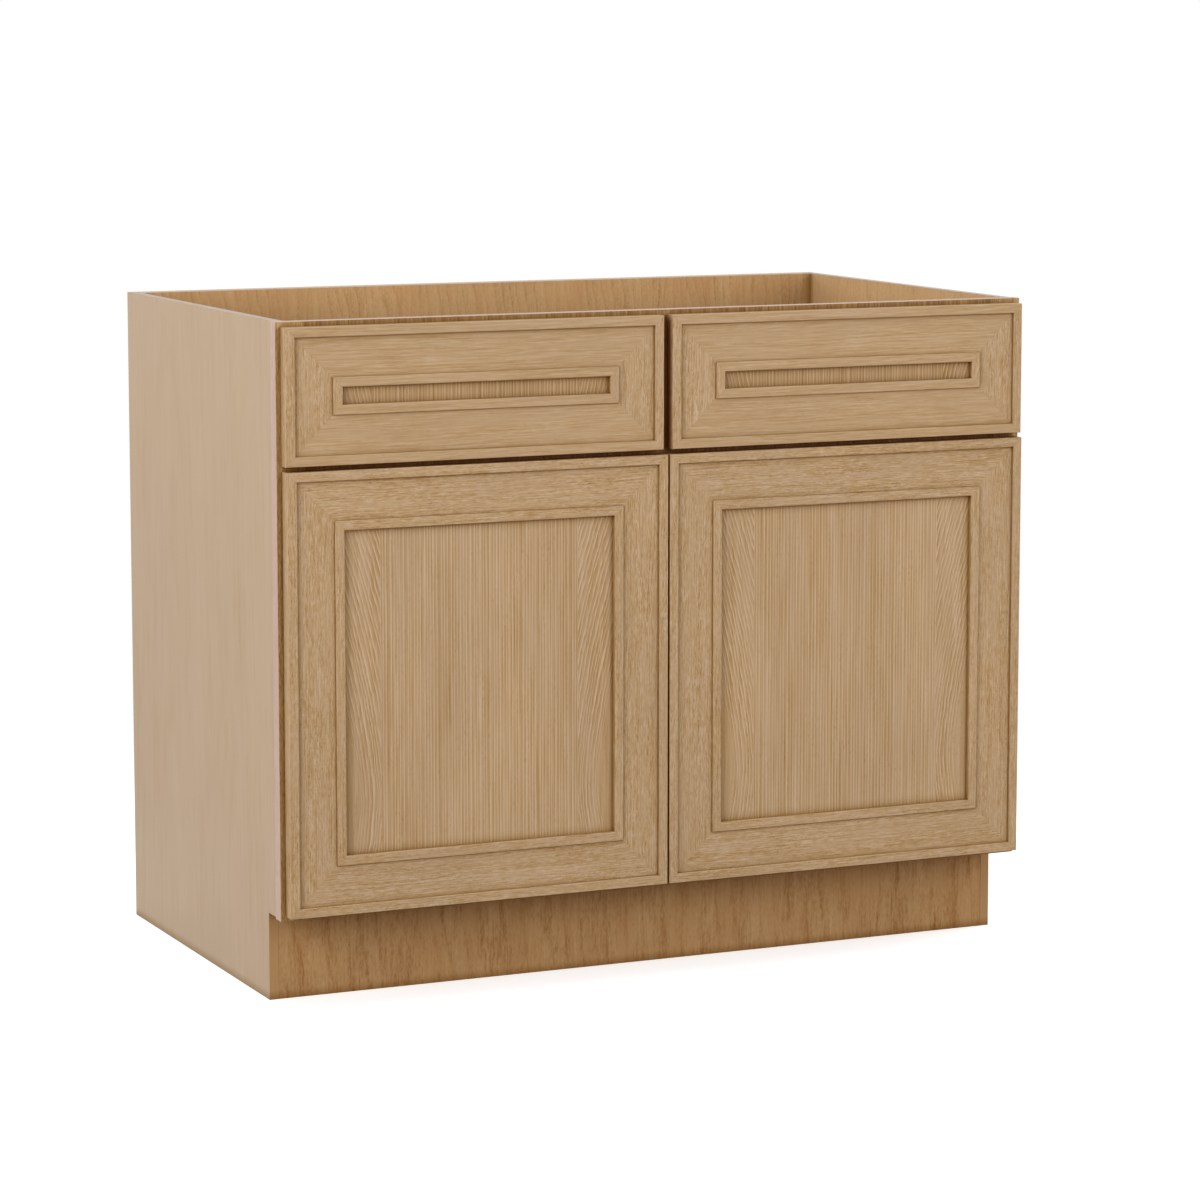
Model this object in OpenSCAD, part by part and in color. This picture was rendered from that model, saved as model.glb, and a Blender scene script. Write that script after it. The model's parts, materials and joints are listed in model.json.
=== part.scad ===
// Face-frame kitchen base cabinet with two drawers over a pair of doors.
// Millimetres. X runs to the right, Y to the wall, Z up.
// The origin is on the floor, at the middle of the width and of the depth over the doors.

/* [Cabinet] */
// Width over the face frame
cabinet_w = 1066.8; // [960:0.1:1220]
// Height from the floor to the top edge
cabinet_h = 876.3; // [820:0.1:940]
// Depth from the face of the frame to the wall
cabinet_d = 609.6; // [580:0.1:680]
// Height of the toe kick under the face frame
toe_h = 114.3; // [90:0.1:140]
// Setback of the toe kick board behind the face of the frame
toe_setback = 57.15; // [40:0.05:90]
// Thickness of the side panels
side_t = 12.7; // [11:0.1:16]
// Thickness of the floor panel
floor_t = 12.7; // [9:0.1:18]
// Thickness of the toe kick board
toe_t = 12.7; // [9:0.1:18]
// Thickness of the back panel
back_t = 9.5; // [6:0.1:12]
// Thickness of the two hanging rails behind the back panel
hanging_rail_t = 19.05; // [15:0.05:22]
// Height of each hanging rail
hanging_rail_h = 88.9; // [60:0.1:120]
// Depth of the dado that each side panel has for the floor and the back
dado_d = 4.8; // [3:0.1:6]

/* [Face frame] */
// Thickness of the face frame
frame_t = 19.05; // [17:0.05:22]
// Overhang of the face frame past each side panel
frame_overhang = 4.4; // [2:0.1:7]
// Width of the two stiles
stile_w = 38.1; // [36:0.1:50]
// Height of the top rail
top_rail_h = 38.1; // [30:0.1:46]
// Height of the rail between the drawers and the doors
mid_rail_h = 38.1; // [34:0.1:50]
// Height of the bottom rail
bottom_rail_h = 38.1; // [30:0.1:50]
// Width of the mullion between the drawers
mullion_w = 38.1; // [36:0.1:50]

/* [Doors and drawer fronts] */
// Thickness of the door and drawer front frames
front_t = 19.05; // [18:0.05:22]
// Face frame left showing round and between the fronts
reveal = 6.35; // [5:0.05:8]
// Height of a drawer front
drawer_front_h = 174.625; // [168:0.005:185]
// Gap between the two drawer fronts
drawer_front_gap = 12.7; // [8:0.1:20]
// Gap between the two doors
door_gap = 2.4; // [2:0.1:5]
// Stand-off of the doors from the face frame
door_standoff = 3; // [2.8:0.1:4]
// Running gap behind the drawer fronts and the door bumpers
drawer_standoff = 0.3; // [0.2:0.1:0.6]

/* [Moulding] */
// Width of the mitred frame round a door or drawer front
moulding_w = 76.2; // [68:0.1:78]
// Width of the outer and of the inner bead
bead_w = 12.7; // [8:0.1:16]
// Depth of the flat field between the beads below the outer bead
field_drop = 3.5; // [2:0.1:4]
// Depth of the inner bead below the outer bead
inner_bead_drop = 0.8; // [0:0.1:2]
// Depth of the centre panel below the inner bead
panel_drop = 6.2; // [4:0.1:7]
// Radius on the edges of the beads
bead_ease = 1.2; // [0.5:0.1:2]
// Thickness of the centre panel
panel_t = 6.35; // [4:0.05:8]
// Depth of the groove that holds the centre panel
panel_groove_d = 9.5; // [6:0.1:12]
// Play of the centre panel in its groove
panel_play = 0.2; // [0.1:0.1:0.5]

/* [Drawer boxes] */
// Height of a drawer box
box_h = 101.6; // [90:0.1:112]
// Space behind a closed drawer box
box_rear_gap = 48; // [30:1:90]
// Thickness of the box boards
box_t = 12.7; // [10:0.1:16]
// Thickness of the box bottom
bottom_t = 6.35; // [4:0.05:8]
// Height of the bottom above the lower edge of the box
bottom_rise = 9.5; // [7:0.1:14]
// Depth of the groove that holds the bottom
bottom_groove_d = 6.35; // [4:0.05:8]
// Number of dovetails at each corner
tail_count = 3; // [2:1:4]
// Width of a dovetail at the end of the board
tail_w = 23; // [16:0.5:24]
// Slope of the dovetails, as run over length
tail_slope = 0.16; // [0.1:0.01:0.2]
// Play between tails and pins, and of the bottom in its groove
joint_play = 0.1; // [0.05:0.05:0.2]

/* [Drawer slides] */
// Thickness of a slide, from the cabinet to the drawer box
slide_t = 12.7; // [12.5:0.1:14]
// Height of a slide
slide_h = 45.7; // [42:0.1:50]
// Setback of the slides behind the face of the frame
slide_setback = 3; // [2:0.5:6]
// Thickness of the steel of the slides
slide_steel_t = 1.2; // [1:0.1:1.5]
// Running clearance between the slide members
slide_play = 0.3; // [0.2:0.05:0.4]
// Width of the flanges of the outer channel
outer_flange_w = 9.5; // [8.5:0.1:10.5]
// Height of the lips on those flanges
lip_h = 2.4; // [1.5:0.1:3]
// Distance from the cabinet side to the web of the middle channel
middle_web_x = 4.1; // [3:0.1:4.5]
// Width of the flanges of the inner channel
inner_flange_w = 5.7; // [5:0.1:6]
// Height of the ball races round the middle channel
outer_race_h = 6; // [5:0.1:7]
// Height of the ball races inside the middle channel
inner_race_h = 5; // [4:0.1:6]
// Width of the ball cages between the outer and the middle channel
outer_cage_w = 4; // [3:0.1:4.5]
// Width of the ball cages between the middle and the inner channel
inner_cage_w = 3; // [2.5:0.1:4]
// Length of slide that the rear bracket holds
bracket_lap = 40; // [25:1:60]
// Width of the foot of the rear bracket on the back panel
bracket_foot_w = 15; // [10:0.5:17]
// Height of the foot of the rear bracket
bracket_foot_h = 50; // [40:1:60]
// Height of the arm of the rear bracket
bracket_h = 30; // [24:1:36]
// Thickness of the rear bracket
bracket_t = 2; // [1.5:0.1:3]

/* [Hinges] */
// Height of each hinge from the top or bottom end of its door
hinge_inset = 88.9; // [60:0.1:120]
// Diameter of the hinge cup
cup_d = 35; // [34:0.5:36]
// Depth of the hinge cup
cup_depth = 13; // [12.7:0.1:13.5]
// Distance from the door's edge to the cup
cup_edge = 3; // [2.8:0.1:3.2]
// Play of the cup in its bore
cup_play = 0.1; // [0.05:0.05:0.2]
// Thickness of the screw ears of the cup
ear_t = 0.8; // [0.6:0.1:1.2]
// Width of the screw ears
ear_w = 15; // [12:0.5:18]
// Length of the cup over both screw ears
ear_l = 52; // [46:1:58]
// Distance from the middle of the cup to the ears
ear_inset = 3; // [0:0.5:6]
// Thickness of the steel of the cup
cup_steel_t = 1; // [0.8:0.05:1]
// Distance from the door's edge to the hinge pin
pivot_edge = 7.5; // [7.4:0.05:7.7]
// Distance from the back of the door to the hinge pin
pivot_depth = 9.2; // [9.1:0.05:9.4]
// Diameter of the hinge pin
pin_d = 2.5; // [2:0.1:2.6]
// Running clearance round the hinge pin
pin_play = 0.05; // [0.03:0.01:0.08]
// Outer radius of the knuckle round the hinge pin
knuckle_r = 2.4; // [2.2:0.05:2.45]
// Height of the hinge arm
arm_h = 10; // [8:0.5:10.5]
// Thickness of the hinge arm
arm_t = 1.8; // [1.5:0.1:2]
// Height of the plate that screws to the stile
hinge_plate_h = 44; // [36:1:60]
// Distance from that plate to each face of the stile
hinge_plate_inset = 1.5; // [1:0.5:4]
// Height of the lugs that hold the hinge pin in the cup
lug_h = 3.6; // [2.5:0.1:4]
// Play between the hinge arm and each lug
lug_play = 0.3; // [0.1:0.1:0.5]
// Diameter of the door bumpers
bumper_d = 9; // [6:0.5:10]
// Distance from the door's top and bottom edge to the bumpers
bumper_inset = 7.5; // [6:0.5:9]
// Distance from the door's free edge to the bumpers
bumper_setback = 22.5; // [12:0.5:40]

/* [Shelf] */
// Thickness of the shelf
shelf_t = 15.9; // [12:0.1:19]
// Play at each end of the shelf
shelf_play = 1.5; // [1:0.1:3]
// Height of the lowest shelf pin hole
pin_row_z = 272; // [240:1:300]
// Distance from one shelf pin hole to the next
pin_pitch = 32; // [25:1:34]
// Number of shelf pin holes in a row
pin_holes = 9; // [5:1:10]
// Hole that the shelf stands on, counted from the lowest
shelf_hole = 4; // [2:1:4]
// Distance from the frame and from the back panel to the rows of holes
pin_row_inset = 55; // [40:1:100]
// Diameter of the shelf pin holes
pin_hole_d = 5; // [4:0.5:6]
// Depth of the shelf pin holes
pin_hole_depth = 8; // [6:0.5:9]
// Length of the shelf pins in front of the side panel
pin_reach = 9; // [7:0.5:12]
// Thickness of the collar of a shelf pin
pin_collar_t = 1.2; // [0.8:0.1:2]
// Width of the collar round the peg
pin_collar_w = 1.5; // [1:0.1:3]
// Gap between the face frame and the shelf
shelf_gap = 10; // [3:1:40]

/* [Hidden] */
$fn = 48;

// Planes across the depth
overall_d = cabinet_d + door_standoff + front_t;
wall_y = overall_d / 2;
frame_y = wall_y - cabinet_d;
carcass_y = frame_y + frame_t;
toe_y = frame_y + toe_setback;
back_face_y = wall_y - hanging_rail_t - back_t;

// Planes across the width
half_w = cabinet_w / 2;
side_outer_x = half_w - frame_overhang;
side_inner_x = side_outer_x - side_t;

// Heights. The middle rail is centred behind the gap between the drawer fronts and the doors.
floor_top_z = toe_h + bottom_rail_h;
drawer_front_z = cabinet_h - reveal - drawer_front_h;
mid_rail_z = drawer_front_z - (reveal + mid_rail_h) / 2;
drawer_opening_z = mid_rail_z + mid_rail_h;
opening_top_z = cabinet_h - top_rail_h;
drawer_opening_h = opening_top_z - drawer_opening_z;

// Drawer openings, given by the left one
drawer_opening_w = half_w - stile_w - mullion_w / 2;
drawer_opening_x = -half_w + stile_w;

// Fronts
door_w = half_w - reveal - door_gap / 2;
door_h = cabinet_h - toe_h - drawer_front_h - 3 * reveal;
door_z = toe_h + reveal;
drawer_front_w = half_w - reveal - drawer_front_gap / 2;
front_x = -half_w + reveal;
panel_back = front_t - inner_bead_drop - panel_drop - panel_t;

// Drawer box, given by the left one
box_w = drawer_opening_w - 2 * slide_t;
box_y = frame_y - drawer_standoff;
box_z = drawer_opening_z + (drawer_opening_h - box_h) / 2;
box_l = back_face_y - box_rear_gap - box_y;
tail_pitch = box_h / tail_count;

// Slides
slide_y = frame_y + slide_setback;
slide_end_y = box_y + box_l;
slide_l = slide_end_y - slide_y;
slide_z = drawer_opening_z + drawer_opening_h / 2;
outer_half_h = slide_h / 2;
middle_half_h = outer_half_h - outer_race_h;
inner_half_h = middle_half_h - inner_race_h;

// Hinges, given by a hinge of the left door
pivot_x = front_x + pivot_edge;
pivot_y = frame_y - door_standoff - pivot_depth;
pivot_to_frame = door_standoff + pivot_depth;
pivot_to_stile = stile_w - reveal - pivot_edge;
pivot_to_cup = cup_edge + cup_d / 2 - pivot_edge;
hinge_heights = [door_z + hinge_inset, door_z + door_h - hinge_inset];
cup_outer_r = cup_d / 2 - cup_play;
cup_inner_r = cup_d / 2 - cup_steel_t;
lug_z = arm_h / 2 + lug_play;
pin_half = lug_z + lug_h;
bumper_t = door_standoff - drawer_standoff;

// Shelf and its pins
pin_rows = [carcass_y + pin_row_inset, back_face_y - pin_row_inset];
pin_z = pin_row_z + shelf_hole * pin_pitch;
pin_r = pin_hole_d / 2;
shelf_z = pin_z + pin_r;
pin_collar_r = pin_r + pin_collar_w;

oak = "#c3a078";
veneer = "#c9ae92";
maple = "#b98f62";
birch = "#d9c19a";
steel = "#b9bcc0";
white_plastic = "#e6e4df";
clear_rubber = "#d8dcdc";
left = -1;
right = 1;
past = 1;

// Everything is drawn for the left half, and mirrored for the right
module on_side(side) {
    mirror([side == right ? 1 : 0, 0, 0]) children();
}

// A block given by its lowest and highest corners
module block(low, high) {
    translate(low) cube(high - low);
}

// Side panel with the toe notch, the dados for the floor and the back, and the pin holes
module side_panel(side) {
    color(veneer) on_side(side) difference() {
        translate([-side_outer_x, 0, 0]) rotate([90, 0, 90]) linear_extrude(side_t) polygon([
            [carcass_y, toe_h], [toe_y, toe_h], [toe_y, 0],
            [wall_y, 0], [wall_y, cabinet_h], [carcass_y, cabinet_h]
        ]);
        floor_board();
        back_board();
        for (y = pin_rows, hole = [0 : pin_holes - 1])
            translate([-side_inner_x - pin_hole_depth, y, pin_row_z + hole * pin_pitch])
                rotate([0, 90, 0]) cylinder(r = pin_r, h = pin_hole_depth + past);
    }
}

// The floor and the back reach into the dados of both side panels
module floor_board() {
    reach = side_inner_x + dado_d;
    block([-reach, carcass_y, floor_top_z - floor_t], [reach, back_face_y, floor_top_z]);
}

module back_board() {
    reach = side_inner_x + dado_d;
    block([-reach, back_face_y, 0], [reach, back_face_y + back_t, cabinet_h]);
}

module floor_panel() {
    color(maple) floor_board();
}

module back_panel() {
    color(maple) back_board();
}

// Hanging rail between the side panels, behind the back panel
module hanging_rail(low_z) {
    color(birch) block(
        [-side_inner_x, back_face_y + back_t, low_z],
        [side_inner_x, wall_y, low_z + hanging_rail_h]);
}

module toe_kick_board() {
    color(maple) block(
        [-side_inner_x, toe_y, 0],
        [side_inner_x, toe_y + toe_t, floor_top_z - floor_t]);
}

// One upright or one cross piece of the face frame
module frame_piece(low_x, high_x, low_z, high_z) {
    color(oak) block([low_x, frame_y, low_z], [high_x, carcass_y, high_z]);
}

module frame_stile(side) {
    on_side(side) frame_piece(-half_w, -half_w + stile_w, toe_h, cabinet_h);
}

module frame_rail(low_z, height) {
    frame_piece(-half_w + stile_w, half_w - stile_w, low_z, low_z + height);
}

module frame_mullion() {
    frame_piece(-mullion_w / 2, mullion_w / 2, drawer_opening_z, opening_top_z);
}

// Loose shelf on its four pins
module shelf() {
    end_x = side_inner_x - shelf_play;
    color(maple) block(
        [-end_x, carcass_y + shelf_gap, shelf_z],
        [end_x, back_face_y - shelf_play, shelf_z + shelf_t]);
}

// Spoon pin: a peg in the hole, a collar on the panel and a flat tongue under the shelf
module shelf_pin() {
    translate([-pin_hole_depth, 0, 0]) rotate([0, 90, 0])
        cylinder(r = pin_r, h = pin_hole_depth + pin_collar_t);
    intersection() {
        rotate([0, 90, 0]) cylinder(r = pin_collar_r, h = pin_collar_t);
        block([0, -pin_collar_r, -pin_collar_r], [pin_collar_t, pin_collar_r, pin_r]);
    }
    block([0, -pin_collar_r, pin_r - pin_collar_t], [pin_reach, pin_collar_r, pin_r]);
}

module shelf_pins() {
    color(steel) for (side = [left, right], y = pin_rows)
        on_side(side) translate([-side_inner_x, y, pin_z]) shelf_pin();
}

// A strip with its two front edges eased
module eased_strip(width, height) {
    square([width, height - bead_ease]);
    translate([bead_ease, 0]) square([width - 2 * bead_ease, height]);
    for (x = [bead_ease, width - bead_ease])
        translate([x, height - bead_ease]) circle(r = bead_ease);
}

// Section of the moulded frame: x runs from its outer edge to the panel, y from back to face
module moulding_section() {
    difference() {
        union() {
            square([moulding_w, front_t - field_drop]);
            eased_strip(bead_w, front_t);
            translate([moulding_w - bead_w, 0]) eased_strip(bead_w, front_t - inner_bead_drop);
        }
        translate([moulding_w - panel_groove_d, panel_back - panel_play])
            square([panel_groove_d + past, panel_t + panel_play]);
    }
}

// A length of moulding along x, mitred at both ends
module mitred_moulding(length) {
    inner = moulding_w + past;
    intersection() {
        rotate([90, 0, 90]) linear_extrude(length) moulding_section();
        translate([0, 0, -past]) linear_extrude(front_t + 2 * past) polygon([
            [-past, -past], [length + past, -past],
            [length - inner, inner], [inner, inner]
        ]);
    }
}

// The four members of a front of the given size, x to the right, y up, z forward
module bottom_member(width) {
    color(oak) mitred_moulding(width);
}

module top_member(width, height) {
    color(oak) translate([width, height, 0]) rotate(180) mitred_moulding(width);
}

module outer_member(height) {
    color(oak) translate([0, height, 0]) rotate(-90) mitred_moulding(height);
}

module inner_member(width, height) {
    color(oak) translate([width, 0, 0]) rotate(90) mitred_moulding(height);
}

// Centre panel, floating in the grooves of the four members
module centre_panel(width, height) {
    edge = moulding_w - panel_groove_d + panel_play;
    color(oak) block([edge, edge, panel_back], [width - edge, height - edge, panel_back + panel_t]);
}

// Places a front that is drawn flat
module at_drawer_front(side) {
    on_side(side) translate([front_x, frame_y - drawer_standoff, drawer_front_z])
        rotate([90, 0, 0]) children();
}

module at_door(side) {
    on_side(side) translate([front_x, frame_y - door_standoff, door_z])
        rotate([90, 0, 0]) children();
}

// Places a drawer box whose front lower outer corner is the origin
module at_box(side) {
    on_side(side) translate([drawer_opening_x + slide_t, box_y, box_z]) children();
}

// Outline of the dovetails at one end of a box side: x runs in from the end, y up
module tails(play) {
    start_half = tail_w / 2 + play + tail_slope * past;
    root_half = start_half - tail_slope * (box_t + 2 * past);
    for (tail = [0 : tail_count - 1])
        translate([-past, (tail + 0.5) * tail_pitch]) polygon([
            [0, -start_half], [box_t + 2 * past, -root_half],
            [box_t + 2 * past, root_half], [0, start_half]
        ]);
}

// Outline of a box side with the tails at both ends
module box_side_outline() {
    translate([box_t, 0]) square([box_l - 2 * box_t, box_h]);
    intersection() {
        square([box_l, box_h]);
        union() {
            tails(0);
            translate([box_l, 0]) mirror([1, 0]) tails(0);
        }
    }
}

// Space that the box bottom takes up, with its edges in the grooves of the four boards
module box_bottom_space(play) {
    edge = box_t - bottom_groove_d - play;
    block(
        [edge, edge, bottom_rise - play],
        [box_w - edge, box_l - edge, bottom_rise + bottom_t + play]);
}

// Box side, drawn at the outer end of the box, with tails at both ends
module box_side() {
    color(birch) difference() {
        rotate([90, 0, 90]) linear_extrude(box_t) box_side_outline();
        box_bottom_space(joint_play);
    }
}

// Box front or back, with the pins that fill the spaces between the tails
module box_end() {
    color(birch) difference() {
        block([0, 0, 0], [box_w, box_t, box_h]);
        for (x = [-past, box_w - box_t])
            translate([x, 0, 0]) rotate([90, 0, 90]) linear_extrude(box_t + past)
                tails(joint_play);
        box_bottom_space(joint_play);
    }
}

module drawer_box_front(side) {
    at_box(side) box_end();
}

module drawer_box_back(side) {
    at_box(side) translate([0, box_l, 0]) mirror([0, 1, 0]) box_end();
}

module drawer_box_outer_side(side) {
    at_box(side) box_side();
}

module drawer_box_inner_side(side) {
    at_box(side) translate([box_w, 0, 0]) mirror([1, 0, 0]) box_side();
}

module drawer_box_bottom(side) {
    color(birch) at_box(side) box_bottom_space(0);
}

// Both slides of a drawer from one section: x runs from the opening's edge to the box
module slide_pair(side) {
    on_side(side) for (turn = [0, 1])
        translate([drawer_opening_x + turn * drawer_opening_w, slide_end_y, slide_z])
            mirror([turn, 0, 0]) rotate([90, 0, 0]) linear_extrude(slide_l) children();
}

// Draws a shape and its mirror image above and below the middle of the slide
module above_and_below() {
    children();
    mirror([0, 1]) children();
}

// Channel that is fixed to the cabinet, with lips that keep the balls in
module outer_channel_section() {
    translate([0, -outer_half_h]) square([slide_steel_t, slide_h]);
    above_and_below() {
        translate([0, outer_half_h - slide_steel_t]) square([outer_flange_w, slide_steel_t]);
        translate([outer_flange_w - slide_steel_t, outer_half_h - lip_h])
            square([slide_steel_t, lip_h]);
    }
}

// Channel between the two others, with a ball cage on each of its four races
module middle_channel_section() {
    flange_z = middle_half_h - slide_steel_t;
    outer_cage_top = outer_half_h - slide_steel_t - slide_play;
    inner_cage_foot = inner_half_h + slide_play;
    translate([middle_web_x, -middle_half_h]) square([slide_steel_t, 2 * middle_half_h]);
    above_and_below() {
        translate([middle_web_x, flange_z])
            square([slide_t - slide_steel_t - slide_play - middle_web_x, slide_steel_t]);
        translate([middle_web_x - slide_steel_t, flange_z])
            square([outer_cage_w, outer_cage_top - flange_z]);
        translate([slide_t - inner_flange_w, inner_cage_foot])
            square([inner_cage_w, middle_half_h - inner_cage_foot]);
    }
}

// Channel that is fixed to the drawer box
module inner_channel_section() {
    translate([slide_t - slide_steel_t, -inner_half_h]) square([slide_steel_t, 2 * inner_half_h]);
    above_and_below() translate([slide_t - inner_flange_w, inner_half_h - slide_steel_t])
        square([inner_flange_w, slide_steel_t]);
}

module slide_cabinet_members() {
    color(steel) for (side = [left, right]) slide_pair(side) outer_channel_section();
}

module slide_middle_members(side) {
    color(steel) slide_pair(side) middle_channel_section();
}

module slide_drawer_members(side) {
    color(steel) slide_pair(side) inner_channel_section();
}

// Angle bracket from the back panel to the rear end of a slide, with two gussets
module rear_bracket() {
    start_y = slide_end_y - bracket_lap;
    foot_y = back_face_y - bracket_t;
    block([-bracket_t, start_y, -bracket_h / 2], [0, back_face_y, bracket_h / 2]);
    block([-bracket_foot_w, foot_y, -bracket_foot_h / 2], [0, back_face_y, bracket_foot_h / 2]);
    for (z = [-bracket_h / 2, bracket_h / 2 - bracket_t])
        translate([0, 0, z]) linear_extrude(bracket_t) polygon([
            [-bracket_t, foot_y - bracket_foot_w], [0, foot_y - bracket_foot_w],
            [0, foot_y + bracket_t / 2], [-bracket_foot_w, foot_y + bracket_t / 2],
            [-bracket_foot_w, foot_y]
        ]);
}

module slide_rear_brackets() {
    color(white_plastic) for (side = [left, right], turn = [0, 1])
        on_side(side) translate([drawer_opening_x + turn * drawer_opening_w, 0, slide_z])
            mirror([turn, 0, 0]) rear_bracket();
}

// Places a hinge part whose origin is the middle of the hinge pin
module at_hinges(side) {
    on_side(side) for (z = hinge_heights) translate([pivot_x, pivot_y, z]) children();
}

// Arm with a knuckle on the pin, which leaves the cup and wraps onto the stile's inner edge
module hinge_arm() {
    leg_x = pivot_to_stile;
    difference() {
        union() {
            cylinder(r = knuckle_r, h = arm_h, center = true);
            block([0, -knuckle_r, -arm_h / 2], [leg_x + arm_t, arm_t - knuckle_r, arm_h / 2]);
            block(
                [leg_x, -knuckle_r, -arm_h / 2],
                [leg_x + arm_t, pivot_to_frame + frame_t / 2, arm_h / 2]);
            block(
                [leg_x, pivot_to_frame + hinge_plate_inset, -hinge_plate_h / 2],
                [leg_x + arm_t, pivot_to_frame + frame_t - hinge_plate_inset, hinge_plate_h / 2]);
        }
        cylinder(r = pin_d / 2 + pin_play, h = arm_h + 2 * past, center = true);
    }
}

module hinge_arms() {
    color(steel) for (side = [left, right]) at_hinges(side) hinge_arm();
}

// Cup with its screw ears and the two lugs that hold the pin, drawn from the pin
module hinge_cup() {
    difference() {
        union() {
            translate([pivot_to_cup, pivot_depth, 0]) difference() {
                union() {
                    rotate([90, 0, 0]) cylinder(r = cup_outer_r, h = cup_depth);
                    rotate([-90, 0, 0]) cylinder(r = cup_outer_r, h = ear_t);
                    block([ear_inset, 0, -ear_l / 2], [ear_inset + ear_w, ear_t, ear_l / 2]);
                }
                translate([0, ear_t + past, 0]) rotate([90, 0, 0])
                    cylinder(r = cup_inner_r, h = ear_t + past + cup_depth - cup_steel_t);
            }
            intersection() {
                translate([pivot_to_cup, pivot_depth, 0]) rotate([90, 0, 0])
                    cylinder(r = cup_outer_r, h = cup_depth);
                for (z = [lug_z, -lug_z - lug_h])
                    block([-cup_d, -cup_depth, z], [knuckle_r, knuckle_r, z + lug_h]);
            }
        }
        cylinder(r = pin_d / 2, h = 2 * pin_half, center = true);
    }
}

module door_hinge_cups(side) {
    color(steel) at_hinges(side) hinge_cup();
}

module door_hinge_pins(side) {
    color(steel) at_hinges(side) cylinder(r = pin_d / 2, h = 2 * pin_half, center = true);
}

// Hinge stile of a door, bored for its two hinge cups
module door_hinge_stile(side) {
    difference() {
        at_door(side) outer_member(door_h);
        at_hinges(side) translate([pivot_to_cup, pivot_depth + past, 0]) rotate([90, 0, 0])
            cylinder(r = cup_d / 2, h = cup_depth + past);
    }
}

// Bumpers on the back of the lock stile, where it meets the face frame
module door_bumpers(side) {
    color(clear_rubber) at_door(side) for (y = [bumper_inset, door_h - bumper_inset])
        translate([door_w - bumper_setback, y, 0]) mirror([0, 0, 1])
            cylinder(r1 = bumper_d / 2, r2 = bumper_d / 2 - bumper_t / 2, h = bumper_t);
}

side_panel(left);  // side_panel_left
side_panel(right);  // side_panel_right
floor_panel();
back_panel();
hanging_rail(cabinet_h - hanging_rail_h);  // hanging_rail_top
hanging_rail(floor_top_z - hanging_rail_h);  // hanging_rail_bottom
toe_kick_board();
frame_stile(left);  // frame_stile_left
frame_stile(right);  // frame_stile_right
frame_rail(opening_top_z, top_rail_h);  // frame_top_rail
frame_rail(mid_rail_z, mid_rail_h);  // frame_mid_rail
frame_rail(toe_h, bottom_rail_h);  // frame_bottom_rail
frame_mullion();
shelf();
shelf_pins();
slide_cabinet_members();
slide_rear_brackets();
hinge_arms();

at_drawer_front(left) top_member(drawer_front_w, drawer_front_h);  // left_drawer_top_rail
at_drawer_front(left) bottom_member(drawer_front_w);  // left_drawer_bottom_rail
at_drawer_front(left) outer_member(drawer_front_h);  // left_drawer_outer_stile
at_drawer_front(left) inner_member(drawer_front_w, drawer_front_h);  // left_drawer_inner_stile
at_drawer_front(left) centre_panel(drawer_front_w, drawer_front_h);  // left_drawer_front_panel
drawer_box_front(left);  // left_drawer_box_front
drawer_box_back(left);  // left_drawer_box_back
drawer_box_outer_side(left);  // left_drawer_box_outer_side
drawer_box_inner_side(left);  // left_drawer_box_inner_side
drawer_box_bottom(left);  // left_drawer_box_bottom
slide_drawer_members(left);  // left_drawer_slide_members
slide_middle_members(left);  // left_slide_middle_members

at_drawer_front(right) top_member(drawer_front_w, drawer_front_h);  // right_drawer_top_rail
at_drawer_front(right) bottom_member(drawer_front_w);  // right_drawer_bottom_rail
at_drawer_front(right) outer_member(drawer_front_h);  // right_drawer_outer_stile
at_drawer_front(right) inner_member(drawer_front_w, drawer_front_h);  // right_drawer_inner_stile
at_drawer_front(right) centre_panel(drawer_front_w, drawer_front_h);  // right_drawer_front_panel
drawer_box_front(right);  // right_drawer_box_front
drawer_box_back(right);  // right_drawer_box_back
drawer_box_outer_side(right);  // right_drawer_box_outer_side
drawer_box_inner_side(right);  // right_drawer_box_inner_side
drawer_box_bottom(right);  // right_drawer_box_bottom
slide_drawer_members(right);  // right_drawer_slide_members
slide_middle_members(right);  // right_slide_middle_members

at_door(left) top_member(door_w, door_h);  // left_door_top_rail
at_door(left) bottom_member(door_w);  // left_door_bottom_rail
door_hinge_stile(left);  // left_door_hinge_stile
at_door(left) inner_member(door_w, door_h);  // left_door_lock_stile
at_door(left) centre_panel(door_w, door_h);  // left_door_panel
door_hinge_cups(left);  // left_door_hinge_cups
door_hinge_pins(left);  // left_door_hinge_pins
door_bumpers(left);  // left_door_bumpers

at_door(right) top_member(door_w, door_h);  // right_door_top_rail
at_door(right) bottom_member(door_w);  // right_door_bottom_rail
door_hinge_stile(right);  // right_door_hinge_stile
at_door(right) inner_member(door_w, door_h);  // right_door_lock_stile
at_door(right) centre_panel(door_w, door_h);  // right_door_panel
door_hinge_cups(right);  // right_door_hinge_cups
door_hinge_pins(right);  // right_door_hinge_pins
door_bumpers(right);  // right_door_bumpers
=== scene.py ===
"""Kitchen base cabinet: materials, fasteners, balls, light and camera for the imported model."""
import json
import math

import bmesh
import bpy
from mathutils import Matrix, Vector

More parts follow.
